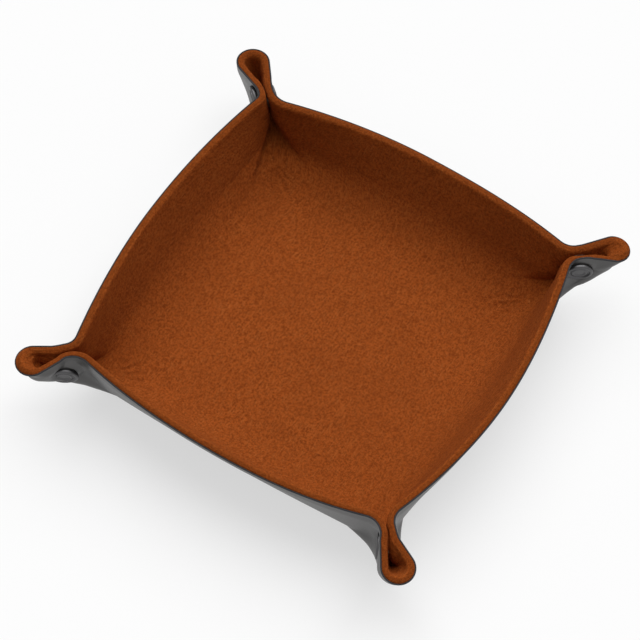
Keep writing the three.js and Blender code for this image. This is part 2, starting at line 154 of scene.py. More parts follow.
class Outline:
    """The outline at cloth height t. Its radii go from one value low down to another at the rim, and its
    loop stands as far out as the cloth's length lets it."""

    def __init__(self, t, swing, neck_reach, loop_radius, gathered, pinch, keen):
        share = np.clip(t / WALL_WIDTH, 0.0, None)
        gape = 1 - ease(t / pinch)
        low, middle = LOOP_RADIUS
        wide = ROOT2 * (NECK_RADIUS[0] + low) - NECK_RADIUS[0]
        rising = np.clip((t - PRESS_START) / (STUD_HEIGHT - PRESS_START), 0.0, 1.0)
        falling = rise(t, STUD_HEIGHT, WALL_WIDTH - STUD_HEIGHT)
        self.share = share
        self.closed = 1 - gape
        self.reach, self.height = wall_section(t)
        self.neck_height = self.height + NECK_RISE * share
        self.neck = mix(NECK_RADIUS, share)
        self.flare = mix(FLARE_RADIUS, share)
        self.loop = middle + (loop_radius - middle) * share**LOOP_SWELL + (low - middle) * gape
        self.ply = mix((PLY_HALF, wide), gape)
        self.press = PRESS_STUD * rising + (PRESS_RIM - PRESS_STUD) * falling
        over = self.reach - mix((FOOT_REACH, neck_reach), share)
        inset = (over + np.hypot(over, FOOT_EASE)) / 2
        self.start = ROOT2 * (self.reach - inset - low * gape)
        loss = CORNER_LOSS * (1 - ease(t / LOSS_HEIGHT))
        loss = loss + gathered[0] * 4 * share * (1 - share) + gathered[1] * share**2
        reach = self.fit(FLOOR_HALF + t - loss, swing, t > 0)
        self.neck = self.neck * mix((1.0, keen), ease(t / KEEN_EASE))
        self.measure(reach, swing)

    def fit(self, length, swing, raised):
        """The loop's reach at which the line has this length: a share of what is left over is added time
        after time, and it is never less than where the loop touches the flare's circle."""
        aside = self.ply + self.flare
        room = (self.flare + self.loop) ** 2 - (aside * np.cos(swing)) ** 2
        touching = aside * np.abs(np.sin(swing)) + np.sqrt(np.clip(room, 0.0, None))
        least = np.where((room > 0) & (self.loop > self.ply), LOOP_CLEAR * touching, 0.0)
        reach = least
        for _ in range(FIT_STEPS):
            self.measure(reach, 0.0)
            further = np.maximum(reach + FIT_SHARE * (length - self.ends[5]), least)
            reach = np.where(raised, further, 0.0)
        return reach

    def measure(self, reach, swing):
        """Angles where the arcs touch their common tangent, and the six lengths added up."""
        self.centre_q = self.press + reach * np.cos(swing)
        self.centre_w = reach * np.sin(swing)
        flare_eta, flare_tangent = self.touch(self.flare, self.press)
        neck_eta, neck_tangent = self.touch(self.neck, 0.0)
        pinched = flare_eta > 0
        self.eta = np.where(pinched, flare_eta, neck_eta)
        tangent = np.where(pinched, flare_tangent, neck_tangent)
        self.low = np.minimum(self.eta, 0.0)
        x = (self.start - self.ply - self.neck) / ROOT2
        y = (self.start + self.ply + self.neck) / ROOT2 - self.reach
        bow = np.maximum(self.neck - y, LEAST_BOW)
        self.wall = (x**2 + y**2 - self.neck**2) / (2 * bow)
        self.tau = np.arctan2(x, y + self.wall)
        lengths = (
            self.wall * self.tau,
            self.neck * (np.pi / 4 + self.tau + self.low),
            np.where(pinched, self.press, 0.0),
            self.flare * (self.eta - self.low),
            tangent,
            self.loop * (np.pi / 2 - swing + self.eta),
        )
        self.ends = np.cumsum(np.broadcast_arrays(*lengths), axis=0)

    def touch(self, radius, along):
        """Angle and length of the line that touches the loop and an arc of this radius, placed along q."""
        across = self.ply + radius - self.centre_w
        ahead = self.centre_q - along
        both = radius + self.loop
        apart = np.maximum(np.hypot(ahead, across), TINY)
        tangent = np.sqrt(np.clip(apart**2 - both**2, 0.0, None))
        return np.arcsin(np.clip(both / apart, -1.0, 1.0)) - np.arctan2(across, ahead), tangent

    def sag(self, q, droop, belly):
        """How far the ear hangs: by the droop's slope past the neck, and by the belly of its underside."""
        past = np.clip(q, 0.0, None)
        drop = np.tan(droop) * self.closed * past**2 / (past + DROOP_EASE * self.share + TINY)
        hang = 4 * self.share * (1 - self.share) * ease(self.share / HANG_EASE)
        return drop + belly * hang * ease(past / (self.centre_q + self.loop))

    def point(self, s, droop, belly):
        """The point at cloth length s from the wall's middle, on whichever of the six stretches s falls."""
        ends = self.ends
        ran = [np.clip(s - end, 0.0, None) for end in ends[:5]]
        angle = np.minimum(s, ends[0]) / self.wall
        wall_x = self.wall * np.sin(angle)
        wall_y = self.reach - 2 * self.wall * np.sin(angle / 2) ** 2
        wall_z = mix((self.height, self.neck_height), np.clip(s / ends[0], 0.0, 1.0) ** 2)
        turn = ran[0] / self.neck - np.pi / 4 - self.tau
        neck = self.neck * np.sin(turn), self.ply + self.neck * (1 - np.cos(turn))
        press = ran[1], self.ply + 0.0 * ran[1]
        turn = self.low + ran[2] / self.flare
        flare = self.press + self.flare * np.sin(turn), self.ply + self.flare * (1 - np.cos(turn))
        left = ends[4] - s
        straight = (
            self.centre_q - self.loop * np.sin(self.eta) - left * np.cos(self.eta),
            self.centre_w + self.loop * np.cos(self.eta) - left * np.sin(self.eta),
        )
        turn = ran[4] / self.loop - self.eta
        loop = self.centre_q + self.loop * np.sin(turn), self.centre_w + self.loop * np.cos(turn)
        stretch = sum((s > end).astype(int) for end in ends[:5])
        picks = [stretch == n for n in range(1, 6)]
        arcs = neck, press, flare, straight, loop
        q, w = (np.select(picks, [arc[n] for arc in arcs], 0.0) for n in (0, 1))
        on_wall = stretch == 0
        x = np.where(on_wall, wall_x, (self.start + q - w) / ROOT2)
        y = np.where(on_wall, wall_y, (self.start + q + w) / ROOT2)
        z = np.where(on_wall, wall_z, self.neck_height - self.sag(q, droop, belly))
        return np.stack([x, y, z], axis=-1)


even = {"neck_reach": 81.0, "loop_radius": 6.9, "gathered": (0.0, 0.0), "pinch": 25.0, "keen": 1.0}
rim = Outline(np.array([[WALL_WIDTH]]), 0.0, **even)
print("cloth from mid wall to spine at the rim, mm", round(float(rim.ends[-1, 0, 0]), 1))

# %% [markdown]
# ## Four corners that differ
#
# Cloth pinched by hand never leaves four equal ears, so each corner has values of its
# own, read off the photograph. Some shape the outline: how far out the neck stands, how
# keen its arc is on either side, how high up the pinch closes, the loop's radius at the
# rim, and how much cloth is gathered away halfway up and at the rim. Others move the
# ear: it swings about the neck, shifts across, leans low down, droops towards its tip
# and bellies underneath, and the loop swings a little more alone. The swing eases in
# just past the neck, so that the walls stay as they are.

# %% Corner values and the bent sheet
WALLS = ("back_right", "back_left", "front_left", "front_right")
CORNERS = ("right", "back", "left", "front")
CAP_SIDE = (-1, 1, 1, -1)
NECK_REACH = (81.9, 80.8, 81.9, 80.0)
NECK_KEEN = ((1.0, 1.0), (0.5, 1.15), (1.0, 0.8), (1.0, 1.0))
PINCH = (21.0, 24.0, 24.0, 21.0)
RIM_LOOP = (6.2, 6.9, 6.7, 6.9)
GATHERED = ((2.2, 0.0), (-8.5, -1.5), (0.5, -0.1), (-3.0, -1.2))
EAR_SWING = np.radians((-3.0, 1.8, 11.5, -12.0))
EAR_SHIFT = (2.6, 0.7, 1.6, -1.8)
EAR_LEAN = (0.0, -2.6, 0.0, 0.0)
EAR_BELLY = (-2.6, 3.0, -1.8, 0.0)
EAR_DROOP = np.radians((6.8, 5.9, 6.0, 9.3))
LOOP_SWING = np.radians((0.0, 3.5, -6.9, 13.0))
SWING_EASE = 6.0
NECK_SPLIT = 0.5
LOOP_SPLIT = 0.45


def corner_of(wall, side):
    """The corner at the right (+1) or left (-1) end of a wall seen from inside the tray."""
    return wall if side > 0 else (wall + 1) % 4


def fold(t, length, corner, side):
    """The outline's points and where they lie flat. They are turned about the neck by the swing, then moved
    across by the shift, which grows to the rim, and by the lean, which is greatest a third of the way."""
    shape = NECK_REACH[corner], RIM_LOOP[corner], GATHERED[corner], PINCH[corner]
    ring = Outline(t, side * LOOP_SWING[corner], *shape, NECK_KEEN[corner][side < 0])
    s = length(ring)
    points = ring.point(s, EAR_DROOP[corner], EAR_BELLY[corner])
    q = (points[..., 0] + points[..., 1]) / ROOT2 - ring.start
    w = (points[..., 1] - points[..., 0]) / ROOT2
    swing = side * EAR_SWING[corner] * ease(q / SWING_EASE) * ring.closed
    q, w = q * np.cos(swing) - w * np.sin(swing), q * np.sin(swing) + w * np.cos(swing)
    lean = 27 / 4 * ring.share * (1 - ring.share) ** 2
    aside = EAR_SHIFT[corner] * ring.share + EAR_LEAN[corner] * lean
    w = w + side * aside * ease(s / ring.ends[1])
    q = q + ring.start
    points = np.stack([(q - w) / ROOT2, (q + w) / ROOT2, points[..., 2]], axis=-1)
    flat = np.stack([s / ring.ends[5] * (FLOOR_HALF + t), FLOOR_HALF + t + 0 * s], axis=-1)
    return points, flat


def columns(c):
    """Cloth length at column c: 0 to 1 is the wall, 1 to 2 the ear, 2 to 3 the loop."""

    def length(ring):
        neck = mix(ring.ends[0:2], NECK_SPLIT)
        loop = mix(ring.ends[4:6], LOOP_SPLIT)
        ear_part = (loop - neck) * np.clip(c - 1, 0.0, 1.0)
        return neck * np.clip(c, 0.0, 1.0) + ear_part + (ring.ends[5] - loop) * np.clip(c - 2, 0.0, None)

    return length


print("ears", {name: round(float(np.degrees(v)), 1) for name, v in zip(CORNERS, EAR_SWING)})

# %% [markdown]
# ## Where the press studs grip
#
# Each stud is set through one ply a little above the middle of the ear. Its flat discs
# clamp the cloth, so the bent sheet is pressed flat in a small round about it: the
# nearer a point is to the stud, the more of its distance from the stud's plane is
# taken away. Set by hand, no cap sits quite square, so a cap may be turned about the
# upright, tipped up, or sunk a little into its ply.

# %% Stud seats
STUD_REACH = (1.4, 3.9, 5.2, 4.9)
STUD_UP = (1.0, 1.0, -3.5, -1.5)
CAP_TURN = np.radians((-10.0, 0.0, 38.0, 0.0))
CAP_TIP = (0.2, 0.0, 0.24, 0.0)
CAP_DIP = (0.0, 0.0, 0.0, 1.6)
PRESS_ROUND = (4.0, 5.0)
PRESS_COLUMNS = (1.45, 0.6)
SLOPE_STEP = 0.05


def stud_seat(corner, side):
    """Middle of the stud on the glue line and the unit normal towards the felt, in the wall's frame: the
    cross product of the slopes along the ply and up it, turned and tipped on the cap's side."""
    heights = STUD_HEIGHT + STUD_UP[corner] + SLOPE_STEP * np.array([[0.0], [0.0], [1.0]])
    ahead = STUD_REACH[corner] + SLOPE_STEP * np.array([[0.0], [1.0], [0.0]])
    points, _ = fold(heights, lambda ring: ring.ends[1] + ahead, corner, side)
    points = points[:, 0]
    normal = np.cross(points[1] - points[0], points[2] - points[0])
    x, y, z = normal / np.linalg.norm(normal)
    on_cap = side == CAP_SIDE[corner]
    turn = CAP_TURN[corner] * on_cap
    x, y = x * np.cos(turn) + y * np.sin(turn), y * np.cos(turn) - x * np.sin(turn)
    normal = np.array([x, y, z + CAP_TIP[corner] * on_cap])
    normal /= np.linalg.norm(normal)
    return points[0] + CAP_DIP[corner] * on_cap * normal, normal


def press_flat(points, c, seat, normal):
    """Takes away the height over the seat's plane, fully inside the round and easing out past it; the loop
    past the ear is left as it is."""
    offset = points - seat
    height = offset @ normal
    radius = np.linalg.norm(offset - height[..., None] * normal, axis=-1)
    weight = (1 - rise(radius, *PRESS_ROUND)) * (1 - rise(c, *PRESS_COLUMNS))
    return points - (weight * height)[..., None] * normal


def turn_to_wall(vectors, wall):
    """Turns vectors from the first wall's frame to another's, a quarter turn for each wall."""
    x, y = vectors[..., 0], vectors[..., 1]
    for _ in range(wall):
        x, y = -y, x
    return np.concatenate([np.stack([x, y], axis=-1), vectors[..., 2:]], axis=-1)


studs = {}
for wall in range(4):
    for side in (1, -1):
        corner = corner_of(wall, side)
        seat, normal = stud_seat(corner, side)
        mirror = np.array([side, 1, 1])
        studs[corner, side] = turn_to_wall(seat * mirror, wall), turn_to_wall(normal * mirror, wall)
print("first stud seat, mm", np.round(studs[0, 1][0], 1))

# %% [markdown]
# ## The grid over each wall
#
# A wall with both its ears is one grid of points: a row for each height and a column
# for each share of the cloth's length. Rows crowd together at the crease and at the rim,
# where the cloth turns fastest. The grid goes a little past each loop's spine, so that
# the slope is known there too, and these last columns are then dropped.

# %% Rows, columns and normals
FLOOR_EDGE = -19.5
CREASE_EDGE = -6.0
EAR_START = 4.0
PAST_SPINE = 3.07
RIM_ROWS = np.array([3.2, 2.6, 2.0, 1.5, 1.05, 0.7, 0.42, 0.2, 0.06, 0.0])
ROWS_T = np.concatenate(
    [
        np.linspace(FLOOR_EDGE, CREASE_EDGE, 9)[:-1],
        np.linspace(CREASE_EDGE, EAR_START, 13)[:-1],
        np.linspace(EAR_START, WALL_WIDTH - RIM_ROWS[0], 35)[:-1],
        WALL_WIDTH - RIM_ROWS,
    ]
)[:, None]
HALF_C = np.concatenate(
    [np.linspace(0, 1, 77)[:-1], np.linspace(1, 2, 29)[:-1], np.linspace(2, 3, 15), [PAST_SPINE]]
)
WALL_C = np.concatenate([-HALF_C[:0:-1], HALF_C])[1:-1]


def normals_of(grid):
    """Unit normals of a grid of points: the cross product of its slopes along columns and rows."""
    across = np.gradient(grid, axis=1)
    up = np.gradient(grid, axis=0)
    normal = np.cross(across, up)
    return normal / np.maximum(np.linalg.norm(normal, axis=-1, keepdims=True), TINY)


def half_wall(wall, side):
    """One half of a wall with its ear, in the wall's frame, pressed flat at the stud."""
    corner = corner_of(wall, side)
    c = HALF_C[None, :]
    points, flat = fold(ROWS_T, columns(c), corner, side)
    points = press_flat(points, c, *stud_seat(corner, side))
    return points * (side, 1, 1), flat * (side, 1)


def wall_grid(wall):
    """The whole glue line of one wall with both its ears, its normals and its flat coordinates."""
    left, left_flat = half_wall(wall, -1)
    right, right_flat = half_wall(wall, 1)
    points = np.concatenate([left[:, :0:-1], right], axis=1)
    flat = np.concatenate([left_flat[:, :0:-1], right_flat], axis=1)
    return [turn_to_wall(part, wall)[:, 1:-1] for part in (points, normals_of(points), flat)]


grids = [wall_grid(wall) for wall in range(4)]
print("points on each skin of a wall", grids[0][0].shape[:2])

# %% [markdown]
# ## The felt's own face
#
# Felt is never quite level. A slow noise and a finer one keep it from looking machined,
# and at each corner of the floor, where the cloth is gathered, small folds fan out.
# It is thinner where the two plies are clamped and thicker inside the loop. All of this
# is real height in the mesh and not only shading, because it shows at the edges.

# %% Felt's height over the glue line
NAP_WAVES = ((0.10, 11.0, 3), (0.05, 2.3, 4))
TABLE_SIZE = 256
FOLD_SIGNS = ((1, 1), (-1, 1), (-1, -1), (1, -1))
FOLD_HEIGHT = (0.35, 0.40, 0.30, 0.10)
FOLD_COUNT = 22.0
FOLD_WANDER = (1.8, 7.0, 7)
FOLD_RING = (13.0, 7.0)
FOLD_EDGE = (-4.0, 8.0)
PLY_THIN = 0.35
PLY_ROWS = (8.0, 14.0)
PLY_COLUMNS = ((0.85, 0.25), (1.55, 0.3))
RIM_SPARED = 0.7
RIM_BAND = (STUD_HEIGHT + 2.0, 6.0)
LOOP_THICK = 0.3
LOOP_COLUMNS = (1.6, 0.7)


def lattice_noise(x, y, pitch, seed):
    """Smooth random heights: random values on squares of one pitch, eased between their corners."""
    table = np.random.default_rng(seed).uniform(-1.0, 1.0, (TABLE_SIZE, TABLE_SIZE))
    u, v = x / pitch + TABLE_SIZE / 2, y / pitch + TABLE_SIZE / 2
    i, j = np.floor(u).astype(int), np.floor(v).astype(int)
    a, b = ease(u - i), ease(v - j)
    i, j, i_next, j_next = (n % TABLE_SIZE for n in (i, j, i + 1, j + 1))
    near = table[i, j] * (1 - a) + table[i_next, j] * a
    far = table[i, j_next] * (1 - a) + table[i_next, j_next] * a
    return near * (1 - b) + far * b


def nap(flat):
    """Two noises added, and at each corner of the floor a fan of folds: the cosine of the angle about the
    corner times a bell over the distance from it, in millimetres."""
    x, y = flat[..., 0], flat[..., 1]
    waves = sum(height * lattice_noise(x, y, pitch, seed) for height, pitch, seed in NAP_WAVES)
    wander, pitch, seed = FOLD_WANDER
    middle, breadth = FOLD_RING
    for corner, (sign_x, sign_y) in enumerate(FOLD_SIGNS):
        u, v = FLOOR_HALF - sign_x * x, FLOOR_HALF - sign_y * y
        bell = np.exp(-(((np.hypot(u, v) - middle) / breadth) ** 2))
        phase = FOLD_COUNT * np.arctan2(v, u) + wander * lattice_noise(x, y, pitch, seed + corner)
        inside = rise(u, *FOLD_EDGE) * rise(v, *FOLD_EDGE)
        waves = waves + FOLD_HEIGHT[corner] * inside * bell * np.cos(phase)
    return waves


def felt_depth(t, c):
    """Thinner where the plies are pressed together, less so at the rim, and thicker inside the loop."""
    high = rise(t, *PLY_ROWS)
    thin = high * (1 - RIM_SPARED * rise(t, *RIM_BAND)) * band(c, *PLY_COLUMNS)
    return LOOP_THICK * high * rise(c, *LOOP_COLUMNS) - PLY_THIN * thin


print("felt's waves and folds, mm", round(float(np.ptp(nap(grids[0][2]))), 2))

# %% [markdown]
# ## From one surface to two layers
#
# The surface so far is the glue line. Felt lies on its inner side and leather on the
# outer, each as two skins a thickness apart along the normal, closed at the cut edges.
# Near the rim a skin draws in along a quarter circle, so that the cut edge is rounded
# as a blade and wear leave it, and the leather is pared thinner from outside.

# %% Skins of felt and leather
SKINS = {"felt": (2.7, -0.1), "leather": (-0.15, -1.5)}
EDGE_RADIUS = {"felt": (2.1, 0.3), "leather": (0.12, 0.3)}
PARED_DEPTH = 0.7
PARED_WIDTH = 6.0
CUT_BAND = (WALL_WIDTH - 0.75, 0.4)
CALM_SHARE = 0.8
CALM_COLUMNS = ((0.8, 0.2), (1.6, 0.3))


def skin(points, normal, flat, sheet, face):
    """One face of a layer: the glue line moved along its normal, rounded off towards the rim's cut edge."""
    sign = 1 if face == 0 else -1
    radius = EDGE_RADIUS[sheet][face]
    inset = radius - np.sqrt(radius**2 - np.clip(radius - WALL_WIDTH + ROWS_T, 0.0, radius) ** 2)
    lift = SKINS[sheet][face] - sign * inset + np.zeros(points.shape[:2])
    if sheet == "felt" and face == 0:
        column = np.abs(WALL_C)[None, :]
        calm = 1 - CALM_SHARE * band(column, *CALM_COLUMNS)
        lift += nap(flat) * calm + felt_depth(ROWS_T, column)
    if sheet == "leather" and face == 1:
        lift += PARED_DEPTH * rise(ROWS_T, WALL_WIDTH - PARED_WIDTH, PARED_WIDTH)
    moved = points + lift[..., None] * normal
    cloth = np.concatenate([flat, lift[..., None]], axis=-1)
    cut = rise(ROWS_T, *CUT_BAND) + np.zeros(points.shape[:2])
    return moved, cloth, cut


print("thicknesses, mm", {sheet: round(high - low, 2) for sheet, (high, low) in SKINS.items()})

# %% [markdown]
# ## A closed mesh from two skins
#
# A piece is a choice of cells on the grid. Its two skins are joined by a strip of quads
# along every open side, so that each piece is a closed solid. The shading normals
# come from the whole grid and not from the piece alone, which keeps the light running
# on smoothly where one piece of cloth meets the next.

# %% Mesh builder
SOFT_SIDE = 0.6


def place(name, data):
    """A new object that holds this data, in the scene."""
    made = bpy.data.objects.new(name, data)
    bpy.context.scene.collection.objects.link(made)
    return made


def open_sides(cells):
    """Which of a cell's four sides, from its lower side round, have no neighbour in the choice."""
    framed = np.pad(cells, 1)
    below, right = framed[:-2, 1:-1], framed[1:-1, 2:]
    above, left = framed[2:, 1:-1], framed[1:-1, :-2]
    return [cells & ~near for near in (below, right, above, left)]


def cloth_piece(name, top, bottom, cells):
    """Two skins over the chosen cells and the strips between them; a skin is points, cloth and cut edge."""
    used = np.zeros(top[0].shape[:2], bool)
    for rows in (slice(None, -1), slice(1, None)):
        for cols in (slice(None, -1), slice(1, None)):
            used[rows, cols] |= cells
    count = int(used.sum())
    index = np.cumsum(used.ravel()).reshape(used.shape) - 1
    ring = [index[:-1, :-1], index[:-1, 1:], index[1:, 1:], index[1:, :-1]]
    upper = np.stack([part[cells] for part in ring], axis=-1)
    strips = []
    for n, chosen in enumerate(open_sides(cells)):
        a, b = ring[n][chosen], ring[(n + 1) % 4][chosen]
        strips.append(np.stack([b, a, a + count, b + count], axis=-1))
    strips = np.concatenate(strips)
    faces = np.concatenate([upper, upper[:, ::-1] + count, strips])
    points, cloth, cut = (np.concatenate([high[used], low[used]]) for high, low in zip(top, bottom))
    points = points * MM
    shade = np.concatenate([normals_of(top[0])[used], -normals_of(bottom[0])[used]])
    corners = points[strips]
    flat_shade = np.cross(corners[:, 1] - corners[:, 0], corners[:, 3] - corners[:, 0])
    size = np.linalg.norm(flat_shade, axis=-1, keepdims=True)
    flat_shade = (flat_shade / np.maximum(size, TINY))[:, None]
    loops = shade[faces]
    sides = loops[2 * len(upper) :]
    soft = (sides * flat_shade).sum(axis=-1, keepdims=True) > SOFT_SIDE
    sides[:] = np.where(soft, sides, flat_shade)
    mesh = bpy.data.meshes.new(name)
    mesh.from_pydata(points, [], faces)
    mesh.shade_smooth()
    mesh.normals_split_custom_set(loops.reshape(-1, 3).tolist())
    mesh.attributes.new("cloth", "FLOAT_VECTOR", "POINT").data.foreach_set("vector", cloth.ravel() * MM)
    mesh.attributes.new("cut", "FLOAT", "POINT").data.foreach_set("value", cut)
    piece = place(name, mesh)
    piece["edge_area"] = float(size.sum())
    return piece


print("open sides of a lone cell", sum(int(side.sum()) for side in open_sides(np.ones((1, 1), bool))))

# %% [markdown]
# ## Cutting the cloth where it bends
#
# When the studs are undone the walls lie down, the ears turn out at the neck and the
# loops unroll. Here only the start and end of each bend are worked out: no piece is
# tied to a body or bent by them. A wall's bend lies along its crease. The bends of ears
# and loops are read from the piece's own edge, because no two of them stand alike.

# %% Bends and flat sizes
CREASE = np.array([[0.0, *wall_section(t)] for t in (-12.0, EAR_START - 1.0)])
NECK_START = 12.0
BENDS = {"ear": (1.0, 1.45, 1.0), "loop": (2.0, 3.0, 0.7)}
LEAST_BEND = 0.0004
NARROWEST = 0.0101
pieces = {"felt": [], "leather": []}


def edge_at(skins, c):
    """The points of the upper and of the lower skin on the column at c, from the neck's start up."""
    rows = ROWS_T[:, 0] > NECK_START
    column = np.argmin(np.abs(WALL_C - c))
    return [points[rows, column] * MM for points, _, _ in skins]


def bend_between(edge, far, share):
    """Start and end of a bend square to an edge: from the edge's last point, a share of the way to the
    first point of the far edge."""
    edge = np.concatenate([*edge, edge[0][-1:]])
    far = np.concatenate(far)
    line = edge[-1] - edge[0]
    line = line / np.linalg.norm(line)
    middle = edge.mean(axis=0)
    way = far.mean(axis=0) - middle
    way = way - (way @ line) * line
    way = way / np.linalg.norm(way)
    first, last = (edge @ way).max(), (far @ way).min()
    last = first + max(LEAST_BEND, share * (last - first))
    return [middle + way * (reach - middle @ way) for reach in (first, last)]


def flat_area(cloth, cells):
    """Square metres of the chosen cells on the flat sheet: half the cross product of their diagonals."""
    a = (cloth[1:, 1:, :2] - cloth[:-1, :-1, :2]) * MM
    b = (cloth[1:, :-1, :2] - cloth[:-1, 1:, :2]) * MM
    return float(np.abs(a[..., 0] * b[..., 1] - a[..., 1] * b[..., 0])[cells].sum() / 2)


def lay(piece, sheet, node, cells, cloth, height):
    """Hides the CAD part that the piece replaces and adds the piece to its sheet's list; its size when
    flat, half its cut edges included, is worked out but not kept.
    """
    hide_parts(node)
    area = flat_area(cloth, cells) + piece["edge_area"] / 2
    cut = max(area / height, NARROWEST), height
    pieces[sheet].append(piece)


print("crease from and to, mm", np.round(CREASE[:, 1:], 1).tolist())

# %% [markdown]
# ## Walls, ears and loops
#
# The grid of each wall is now cut into five pieces of felt and five of leather: the wall
# itself with the low rows of its corners, and at each end a ply of the ear and half of
# the loop. Leather comes first.

# %% Pieces of the four sides
SHEETS = {"leather": "backing", "felt": "lining"}
COLUMN = (WALL_C[1:] + WALL_C[:-1])[None, :] / 2
HIGH = (ROWS_T[1:] + ROWS_T[:-1]) / 2 > EAR_START


def ply_name(corner, side):
    """A ply is named for its corner and for what it carries, the cap or the stud."""
    return f"{CORNERS[corner]}_{'cap_side' if CAP_SIDE[corner] == side else 'stud_side'}"


def lay_wall(sheet, wall, skins):
    """The cells between the two necks and all the low rows; the bend from the floor along the crease is
    worked out but not used.
    """
    cells = (np.abs(COLUMN) < 1) | ~HIGH
    piece = cloth_piece(f"{SHEETS[sheet]}_wall_{WALLS[wall]}", *skins, cells)
    start, end = turn_to_wall(CREASE, wall) * MM
    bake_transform(piece)
    lay(piece, sheet, f"{sheet}_wall_{WALLS[wall]}", cells, skins[0][1], (WALL_WIDTH - FLOOR_EDGE) * MM)


def lay_ear(sheet, wall, side, skins):
    """The cells of one ply and of its loop; the bends at the neck and from the ply are worked out but not
    used.
    """
    tag = ply_name(corner_of(wall, side), side)
    for n, (part, (first, last, share)) in enumerate(BENDS.items()):
        cells = HIGH & (COLUMN * side > first) & (COLUMN * side < first + 1)
        piece = cloth_piece(f"{SHEETS[sheet]}_{part}_{tag}", *skins, cells)
        edge, far = (edge_at(skins, c * side) for c in (first, last))
        start, end = bend_between(edge, far, share)
        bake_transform(piece)
        lay(piece, sheet, f"{sheet}_{part}_{tag}", cells, skins[0][1], (WALL_WIDTH - EAR_START) * MM)


for sheet in SHEETS:
    for wall in range(4):
        skins = [skin(*grids[wall], sheet, face) for face in (0, 1)]
        lay_wall(sheet, wall, skins)
        for side in (1, -1):
            lay_ear(sheet, wall, side, skins)
print("cloth pieces", {sheet: len(made) for sheet, made in pieces.items()})

# %% [markdown]
# ## The floor
#
# The floor is the part of the sheet that stays flat. Nested squares of the same outline
# fill it, so its edge is the line on which the walls begin and it has no pole in the
# middle.

# %% Floor of felt and of leather
FLOOR_STEPS = 105


def floor_grid():
    """Points of nested outlines: a lattice point on square m, a share along its side, goes to m times the
    outline's point at that share of its length."""
    line = np.linspace(-1.0, 1.0, FLOOR_STEPS)
    a, b = np.meshgrid(line, line)
    size = np.maximum(np.abs(a), np.abs(b))
    total = np.zeros(a.shape + (2,))
    free = size > 0
    for wall, (out, run) in enumerate(((b, a), (-a, b), (-b, -a), (a, -b))):
        mine = free & (out >= size)
        free = free & ~mine
        share = np.clip(run / np.maximum(size, TINY), -1.0, 1.0)
        for side in (1, -1):
            chosen = mine & (share * side >= 0)
            t = np.full((1, int(chosen.sum())), FLOOR_EDGE)
            along = np.abs(share[chosen])[None, :]
            points, _ = fold(t, lambda ring: along * ring.ends[5], corner_of(wall, side), side)
            points = points[0, :, :2] * (side, 1) * size[chosen][:, None]
            total[chosen] = turn_to_wall(points, wall)
    points = np.concatenate([total, np.full(a.shape + (1,), LIFT)], axis=-1)
    flat = np.stack([a, b], axis=-1) * (FLOOR_HALF + FLOOR_EDGE)
    return points, flat


points, flat = floor_grid()
cells = np.ones((FLOOR_STEPS - 1, FLOOR_STEPS - 1), bool)
for sheet, title in SHEETS.items():
    skins = []
    for face in (0, 1):
        lift = np.full(flat.shape[:2], SKINS[sheet][face])
        if sheet == "felt" and face == 0:
            lift += nap(flat)
        cloth = np.concatenate([flat, lift[..., None]], axis=-1)
        skins.append((points + lift[..., None] * (0.0, 0.0, 1.0), cloth, 0 * lift))
    piece = cloth_piece(f"{title}_floor", *skins, cells)
    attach(piece, "floor")
    lay(piece, sheet, f"{sheet}_floor", cells, skins[0][1], 2 * (FLOOR_HALF + FLOOR_EDGE) * MM)
print("floor half width, mm", round(float(points[..., 0].max()), 2))

# %% [markdown]
# ## Press studs
#
# A press stud is four turned pieces: a cap and the socket behind it on one ply, a
# stud and its back post on the other. Each is a profile of radius and height turned about
# the stud's axis, which is also how they are pressed from sheet metal. Outside pieces
# point along the leather's normal and inside pieces along the felt's.

# %% Turned pieces
ROUND_STEPS = 72
SHARP_EDGE = np.radians(50)
PROFILES = {
    "cap": [
        (0, -0.5), (5.2, -0.5), (5.75, -0.3), (6.1, 0.1), (6.2, 0.55), (6.2, 0.95), (6.05, 1.35),
        (5.75, 1.6), (5.35, 1.7), (5.0, 1.62), (4.75, 1.4), (4.6, 1.1), (4.4, 0.98), (4.1, 1.0),
        (3.7, 1.1), (3.45, 1.32), (3.2, 1.42), (2.9, 1.42), (2.65, 1.28), (2.45, 1.1), (2.1, 1.04),
        (1.2, 1.08), (0, 1.1),
    ],
    "socket": [
        (0, -2.2), (3.9, -2.2), (4.2, -1.9), (4.2, -0.6), (5.0, -0.5), (5.1, -0.3), (5.1, 0.1),
        (4.95, 0.3), (4.7, 0.36), (3.2, 0.36), (2.6, 0.2), (2.4, -0.2), (2.4, -1.5), (2.2, -1.65),
        (0, -1.65),
    ],
    "stud": [
        (0, -0.9), (4.5, -0.9), (4.75, -0.7), (4.8, -0.3), (4.8, 0.1), (4.6, 0.28), (4.3, 0.34),
        (2.2, 0.34), (1.75, 0.5), (1.6, 0.8), (1.75, 1.15), (1.9, 1.45), (1.85, 1.75), (1.6, 2.0),
        (1.2, 2.15), (0, 2.2),
    ],
    "post": [
        (0, -0.6), (4.0, -0.6), (4.5, -0.35), (4.7, -0.05), (4.7, 0.2), (4.5, 0.45), (4.1, 0.6),
        (3.6, 0.63), (3.1, 0.55), (2.8, 0.35), (2.6, 0.22), (1.6, 0.14), (0, 0.12),
    ],
}
FACE = {"cap": -1.5, "post": -1.5, "socket": 2.35, "stud": 2.35}


